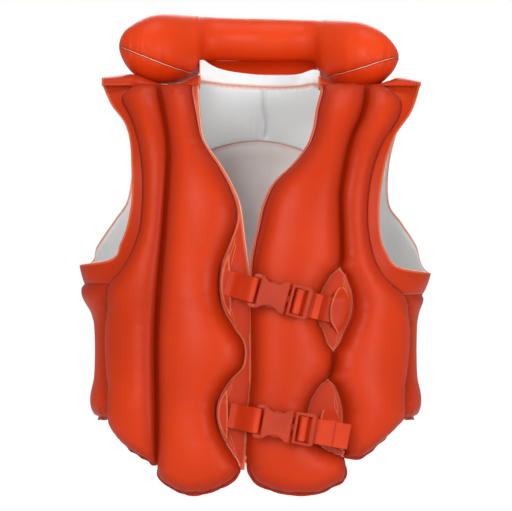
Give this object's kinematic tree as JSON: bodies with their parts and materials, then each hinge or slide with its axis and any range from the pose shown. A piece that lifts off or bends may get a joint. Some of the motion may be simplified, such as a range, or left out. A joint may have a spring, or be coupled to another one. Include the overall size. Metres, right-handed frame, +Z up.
{
  "type": "inflatable life jacket",
  "caption": "Child's inflatable swim vest: welded air chambers, white lining, head pillow that folds back, side-release buckles, valves that push in.",
  "frame": {"origin": "midway between the undersides of the two shoulder flanges, where the vest rests on the shoulders", "axes": "+Z up, the front opening faces -Y, +X towards the wearer's left"},
  "size_m": [0.3486, 0.2363, 0.4783],
  "materials": {
    "vinyl": "soft gloss vinyl film",
    "lining": "soft gloss vinyl film",
    "webbing": "vinyl strap",
    "buckle": "moulded",
    "valve": "moulded"
  },
  "bodies": {
    "vest": {"right_front_inner_chamber": "vinyl", "right_front_outer_chamber": "vinyl", "right_side_chamber": "vinyl", "left_front_inner_chamber": "vinyl", "left_front_outer_chamber": "vinyl", "left_side_chamber": "vinyl", "back_right_chamber": "vinyl", "back_centre_chamber": "vinyl", "back_left_chamber": "vinyl", "back_yoke_chamber": "vinyl", "right_armhole_flange": "vinyl", "left_armhole_flange": "vinyl", "right_opening_flange": "vinyl", "left_opening_flange": "vinyl", "left_upper_island": "vinyl", "left_lower_island": "vinyl", "right_shoulder_flange": "vinyl", "left_shoulder_flange": "vinyl", "neckline_flange": "vinyl", "right_upper_patch": "vinyl", "right_lower_patch": "vinyl", "left_upper_patch": "vinyl", "left_lower_patch": "vinyl", "right_front_lining": "lining", "left_front_lining": "lining", "left_front_inner_lining": "lining", "back_lining": "lining", "yoke_lining": "lining", "upper_fixed_strap": "webbing", "lower_fixed_strap": "webbing", "upper_female_buckle": "buckle", "lower_female_buckle": "buckle", "back_right_valve_base": "valve", "back_left_valve_base": "valve"},
    "collar": {"collar_flange": "vinyl", "collar_pillow": "vinyl", "collar_valve_base": "valve"},
    "upper_male": {"upper_male_buckle": "buckle", "upper_adjuster_strap": "webbing"},
    "upper_arm_top": {"upper_latch_arm_top": "buckle"},
    "upper_arm_bottom": {"upper_latch_arm_bottom": "buckle"},
    "lower_male": {"lower_male_buckle": "buckle", "lower_adjuster_strap": "webbing"},
    "lower_arm_top": {"lower_latch_arm_top": "buckle"},
    "lower_arm_bottom": {"lower_latch_arm_bottom": "buckle"},
    "back_right_stem": {"back_right_valve_stem": "valve"},
    "back_right_cap": {"back_right_valve_cap": "valve"},
    "back_left_stem": {"back_left_valve_stem": "valve"},
    "back_left_cap": {"back_left_valve_cap": "valve"},
    "collar_stem": {"collar_valve_stem": "valve"},
    "collar_cap": {"collar_valve_cap": "valve"}
  },
  "joints": [
    {"name": "collar_fold", "type": "hinge", "parent": "vest", "child": "collar", "pos_m": [0, 0.03, 0.0117], "axis": [-1, 0, 0], "range_deg": [0, 30], "stiffness_Nm_per_rad": 0.4, "springref_deg": -5.73},
    {"name": "upper_release", "type": "slide", "parent": "vest", "child": "upper_male", "axis": [0.9673, 0, -0.2538], "range_m": [0, 0.026], "deforming": ["upper_adjuster_strap"]},
    {"name": "upper_arm_top_flex", "type": "hinge", "parent": "upper_male", "child": "upper_arm_top", "pos_m": [0.03484, -0.1175, -0.20305], "axis": [0, -1, 0], "range_deg": [0, 13]},
    {"name": "upper_arm_bottom_flex", "type": "hinge", "parent": "upper_male", "child": "upper_arm_bottom", "pos_m": [0.02926, -0.1175, -0.22433], "axis": [0, 1, 0], "range_deg": [0, 13]},
    {"name": "lower_release", "type": "slide", "parent": "vest", "child": "lower_male", "axis": [0.9848, 0, -0.1736], "range_m": [0, 0.026], "deforming": ["lower_adjuster_strap"]},
    {"name": "lower_arm_top_flex", "type": "hinge", "parent": "lower_male", "child": "lower_arm_top", "pos_m": [0.03843, -0.1175, -0.3297], "axis": [0, -1, 0], "range_deg": [0, 13]},
    {"name": "lower_arm_bottom_flex", "type": "hinge", "parent": "lower_male", "child": "lower_arm_bottom", "pos_m": [0.03461, -0.1175, -0.35137], "axis": [0, 1, 0], "range_deg": [0, 13]},
    {"name": "back_right_stem_push", "type": "slide", "parent": "vest", "child": "back_right_stem", "axis": [0.3393, -0.9293, 0.146], "range_m": [0, 0.0065]},
    {"name": "back_right_cap_open", "type": "hinge", "parent": "back_right_stem", "child": "back_right_cap", "pos_m": [-0.11224, 0.10956, -0.2101], "axis": [0.3692, -0.0113, -0.9293], "range_deg": [0, 140]},
    {"name": "back_left_stem_push", "type": "slide", "parent": "vest", "child": "back_left_stem", "axis": [-0.3393, -0.9293, 0.146], "range_m": [0, 0.0065]},
    {"name": "back_left_cap_open", "type": "hinge", "parent": "back_left_stem", "child": "back_left_cap", "pos_m": [0.12765, 0.10299, -0.21614], "axis": [-0.3692, -0.0113, -0.9293], "range_deg": [0, 140]},
    {"name": "collar_stem_push", "type": "slide", "parent": "collar", "child": "collar_stem", "axis": [0, -0.8164, 0.5775], "range_m": [0, 0.0065]},
    {"name": "collar_cap_open", "type": "hinge", "parent": "collar_stem", "child": "collar_cap", "pos_m": [0.0129, 0.09555, 0.03481], "axis": [0, -0.5775, -0.8164], "range_deg": [0, 140]}
  ],
  "couplings": [
    {"joint": "upper_arm_top_flex", "follows": "upper_release", "rad_per_m": 8.6},
    {"joint": "upper_arm_bottom_flex", "follows": "upper_release", "rad_per_m": 8.6},
    {"joint": "lower_arm_top_flex", "follows": "lower_release", "rad_per_m": 8.6},
    {"joint": "lower_arm_bottom_flex", "follows": "lower_release", "rad_per_m": 8.6}
  ]
}
